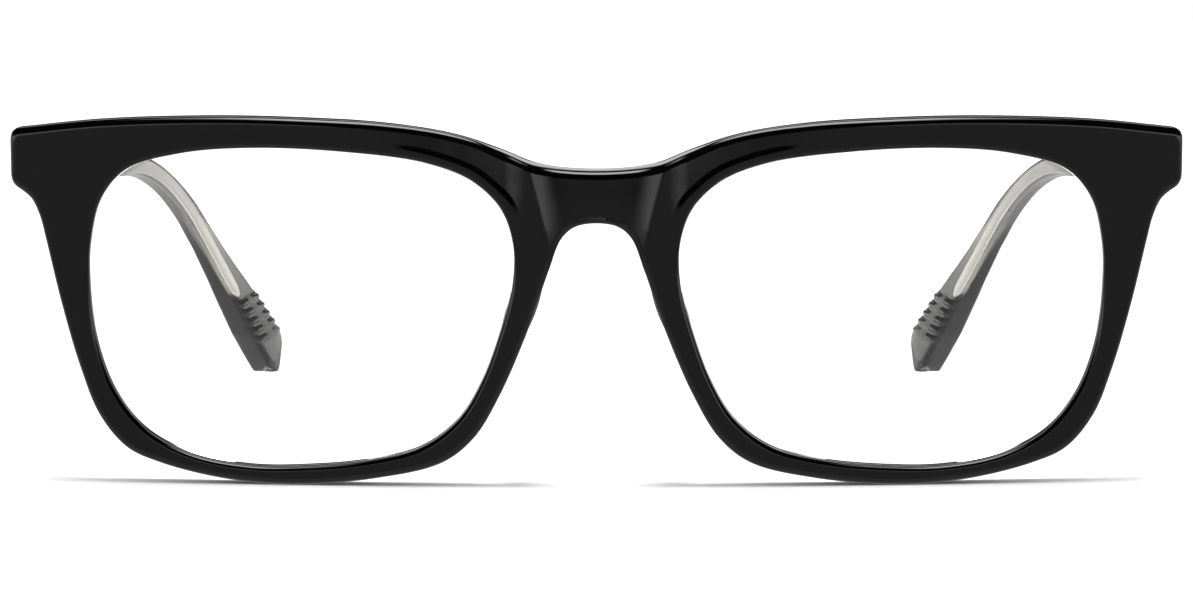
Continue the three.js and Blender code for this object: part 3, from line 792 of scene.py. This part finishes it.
def temple_material():
    """Clear smoke acetate, coloured through its depth."""
    material, tree, shader = new_material(
        "smoke_acetate", Base_Color=(1, 1, 1), IOR=1.49, Transmission_Weight=1.0,
    )
    polish = add_noise(tree, 500, detail=2.0)
    vary(tree, polish, shader.inputs["Roughness"], 0.13, 0.17)
    smoke = tree.nodes.new("ShaderNodeVolumeAbsorption")
    smoke.inputs["Color"].default_value = (*SMOKE_COLOUR, 1)
    smoke.inputs["Density"].default_value = SMOKE_DENSITY
    tree.links.new(smoke.outputs[0], tree.nodes["Material Output"].inputs["Volume"])
    return material


def lens_material():
    """Clear demo lens with a trace of cool tint."""
    material, tree, shader = new_material("clear_lens", Roughness=0.0, IOR=1.5, Transmission_Weight=1.0)
    clouds = add_noise(tree, 40, detail=1.0)
    tint(tree, clouds, shader.inputs["Base Color"], (0.982, 0.988, 0.988), (0.988, 0.992, 0.992))
    return material


def metal_material(name, colour, worn, roughness, scale, stretch, bump):
    """Metal with drawn or brushed lines, or with a fine grain where the stretch is even."""
    material, tree, shader = new_material(name, Metallic=1.0)
    lines = add_noise(tree, scale, stretch=stretch)
    tint(tree, lines, shader.inputs["Base Color"], worn, colour)
    vary(tree, lines, shader.inputs["Roughness"], *roughness)
    roughen(tree, shader, lines, bump, FINE_BUMP)
    return material


# ---- Build ----

ACETATE = acetate_material()
SMOKE = temple_material()
CLEAR = lens_material()
CORE = metal_material(
    "core_wire_metal", (0.76, 0.72, 0.67), (0.70, 0.66, 0.61), (0.24, 0.34), 900, (1, 0.05, 1), 0.1,
)
HINGE = metal_material(
    "hinge_nickel_silver", (0.70, 0.68, 0.64), (0.56, 0.54, 0.50), (0.22, 0.36), 1500, (1, 0.08, 1), 0.25,
)
SCREW = metal_material(
    "screw_steel", (0.74, 0.74, 0.75), (0.60, 0.60, 0.61), (0.12, 0.22), 2500, (1, 1, 0.1), 0.12,
)
SPRING = metal_material(
    "spring_steel", (0.58, 0.59, 0.61), (0.44, 0.45, 0.47), (0.2, 0.3), 1800, (1, 1, 1), 0.15,
)
HOUSING = metal_material(
    "housing_plated_brass", (0.78, 0.77, 0.74), (0.68, 0.66, 0.62), (0.18, 0.3), 1200, (1, 0.1, 1), 0.18,
)
# Nodes that keep the CAD's own shape.
HARDWARE = {
    "front_hinge": HINGE, "hinge_screw": SCREW, "slider": HINGE,
    "stop_collar": SCREW, "spring": SPRING, "spring_housing": HOUSING,
}

front = make_front()
set_material(front, ACETATE)
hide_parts("front")
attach(front, "front")

for label, side in SIDES.items():
    for make, node, slot, body, material in (
        (make_lens, "lens", "lens", "front", CLEAR),
        (make_pad, "nose_pad", "pad_acetate", "front", ACETATE),
        (make_temple, "temple", "temple_grey", f"temple_{label}", SMOKE),
        (make_wire, "core_wire", "core_metal", f"temple_{label}", CORE),
    ):
        piece = make(label, side)
        set_material(piece, material)
        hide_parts(f"{node}_{label}")
        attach(piece, body)
        # Shadow rays pass the clear temples by, and glossy rays the lenses.
        piece.visible_shadow = body == "front"
        piece.visible_glossy = node != "lens"
    for node, material in HARDWARE.items():
        set_material(bpy.data.objects[f"{node}_{label}"], material)


# ---- Stage, light and camera ----

FLOOR_HALF = 6.0                    # metres
SUN_STRENGTH = 3.4
SUN_SPREAD = 16                     # degrees
CAMERA_LENS = 113.9                 # millimetres, with a sensor 36 wide
CAMERA_AHEAD = 0.4492               # metres in front of the object
CAMERA_HEIGHT = 0.0599              # metres above the table
CAMERA_DIP = 4.7                    # degrees below level

SHOWN = 1.25                        # what the camera sees, straight or through the lenses
AMBIENT = 0.95                      # what lights the table
TABLE_AHEAD = 0.41                  # what the gloss sees of the table in front
TABLE_NEAR = 0.25                   # and how much more of its nearest part
TABLE_BEHIND = 0.5                  # what it sees of the table beyond the object
BACK_SIDES = 0.9                    # lit screens behind the object to the left and right
BACK_STRIP = 2.0                    # lit strip behind the object, seen in the top of the bridge
BACK_WALL = 0.08                    # dim wall below it
OVERHEAD = 11.0                     # soft box straight above
SIDE_CARD = 1.8                     # cards to the left and right, level with the object
CEILING = 0.008                     # everything else


def make_floor():
    """White table, which the gloss sees as part of the studio instead."""
    mesh = bpy.data.meshes.new("floor")
    corners = [(x * FLOOR_HALF, y * FLOOR_HALF, 0) for x, y in ((-1, -1), (1, -1), (1, 1), (-1, 1))]
    mesh.from_pydata(corners, [], [(0, 1, 2, 3)])
    floor = bpy.data.objects.new("floor", mesh)
    bpy.context.scene.collection.objects.link(floor)
    material, _, _ = new_material("floor_white", Base_Color=(0.92, 0.92, 0.92), Roughness=1.0)
    set_material(floor, material)
    floor.visible_glossy = False


class Studio:
    """Brightness that a glossy surface sees in each direction, written as arithmetic on nodes.

    x and z are the direction's own parts. ahead is its heading's share towards the camera, from -1 to 1,
    and sideways is the heading's share to the left or right, from 0 to 1.
    """

    def __init__(self, tree):
        self.tree = tree
        place = tree.nodes.new("ShaderNodeTexCoord")
        split = tree.nodes.new("ShaderNodeSeparateXYZ")
        tree.links.new(place.outputs["Generated"], split.inputs[0])
        self.x, y, self.z = split.outputs
        flat = self.math("SQRT", self.math("ADD", self.product(self.x, self.x), self.product(y, y)))
        flat = self.math("MAXIMUM", flat, 1e-4)
        self.ahead = self.math("DIVIDE", self.product(y, -1), flat)
        self.sideways = self.math("ABSOLUTE", self.math("DIVIDE", self.x, flat))
        self.behind = self.ramp(self.ahead, -0.1, -0.5)

    def math(self, operation, *values):
        """One operation on numbers or sockets."""
        node = self.tree.nodes.new("ShaderNodeMath")
        node.operation = operation
        for socket, value in zip(node.inputs, values):
            if isinstance(value, (int, float)):
                socket.default_value = value
            else:
                self.tree.links.new(value, socket)
        return node.outputs[0]

    def product(self, result, *others):
        """All the values multiplied together."""
        for value in others:
            result = self.math("MULTIPLY", result, value)
        return result

    def ramp(self, value, start, end):
        """Smooth step from 0 at start to 1 at end."""
        node = self.tree.nodes.new("ShaderNodeMapRange")
        node.interpolation_type = "SMOOTHSTEP"
        self.tree.links.new(value, node.inputs["Value"])
        node.inputs["From Min"].default_value = start
        node.inputs["From Max"].default_value = end
        return node.outputs["Result"]

    def table(self):
        """The table in front and beyond the object, and the lit screens that stand on it behind."""
        beyond = self.product(self.behind, self.ramp(self.z, 0.06, 0.02), TABLE_BEHIND)
        screens = self.product(self.ramp(self.sideways, 0.35, 0.6), self.ramp(self.z, 0.5, 0.2))
        screens = self.product(screens, self.behind, BACK_SIDES)
        front = self.product(self.ramp(self.z, 0.10, -0.09), TABLE_AHEAD)
        nearest = self.product(self.ramp(self.z, -0.25, -0.45), TABLE_NEAR)
        front = self.math("ADD", front, nearest)
        return self.math("MAXIMUM", self.math("MAXIMUM", beyond, screens), front)

    def back(self):
        """The lit strip behind the object, over a dim wall."""
        strip = self.product(self.ramp(self.z, 0.24, 0.29), self.ramp(self.z, 0.5, 0.42))
        strip = self.product(strip, self.ramp(self.sideways, 0.3, 0.2), BACK_STRIP)
        wall = self.product(self.ramp(self.z, 0.36, 0.28), BACK_WALL)
        return self.product(self.math("MAXIMUM", strip, wall), self.behind)

    def box(self):
        """The soft box overhead, long from front to back."""
        across = self.ramp(self.math("ABSOLUTE", self.x), 0.34, 0.14)
        return self.product(across, self.ramp(self.z, 0.90, 0.96), OVERHEAD)

    def cards(self):
        """The cards to the left and right."""
        beside = self.product(self.ramp(self.sideways, 0.11, 0.40), self.ramp(self.ahead, -0.4, 0.1))
        level = self.product(self.ramp(self.z, -0.12, -0.04), self.ramp(self.z, 0.16, 0.05))
        return self.product(beside, level, SIDE_CARD)

    def all(self):
        """Everything together."""
        result = self.table()
        for part in (self.cards(), self.back(), self.box(), CEILING):
            result = self.math("ADD", result, part)
        return result


def make_world():
    """White all round to the eye; the gloss sees the dark studio with its lit parts."""
    world = bpy.data.worlds.new("studio")
    bpy.context.scene.world = world
    world.use_nodes = True
    tree = world.node_tree
    tree.nodes.clear()
    studio = Studio(tree)
    path = tree.nodes.new("ShaderNodeLightPath")
    mixed = tree.nodes.new("ShaderNodeMix")
    tree.links.new(path.outputs["Is Glossy Ray"], mixed.inputs["Factor"])
    seen = studio.math("MULTIPLY_ADD", path.outputs["Is Diffuse Ray"], AMBIENT - SHOWN, SHOWN)
    tree.links.new(seen, mixed.inputs["A"])
    tree.links.new(studio.all(), mixed.inputs["B"])
    back = tree.nodes.new("ShaderNodeBackground")
    tree.links.new(mixed.outputs["Result"], back.inputs["Strength"])
    out = tree.nodes.new("ShaderNodeOutputWorld")
    tree.links.new(back.outputs[0], out.inputs[0])


def make_lights():
    """Broad light from straight above."""
    data = bpy.data.lights.new("overhead", "SUN")
    data.energy = SUN_STRENGTH
    data.angle = math.radians(SUN_SPREAD)
    sun = bpy.data.objects.new("overhead", data)
    sun.visible_glossy = False
    bpy.context.scene.collection.objects.link(sun)


def make_camera():
    """Camera on the object's middle plane, looking slightly down."""
    data = bpy.data.cameras.new("camera")
    data.sensor_width = 36
    data.lens = CAMERA_LENS
    data.clip_start = 0.01
    camera = bpy.data.objects.new("camera", data)
    camera.location = (0, CAD_BOUNDS[0].y - CAMERA_AHEAD, CAMERA_HEIGHT)
    camera.rotation_euler = (math.radians(90 - CAMERA_DIP), 0, 0)
    bpy.context.scene.collection.objects.link(camera)
    bpy.context.scene.camera = camera


make_floor()
make_world()
make_lights()
make_camera()
bpy.context.scene.view_settings.view_transform = "Standard"
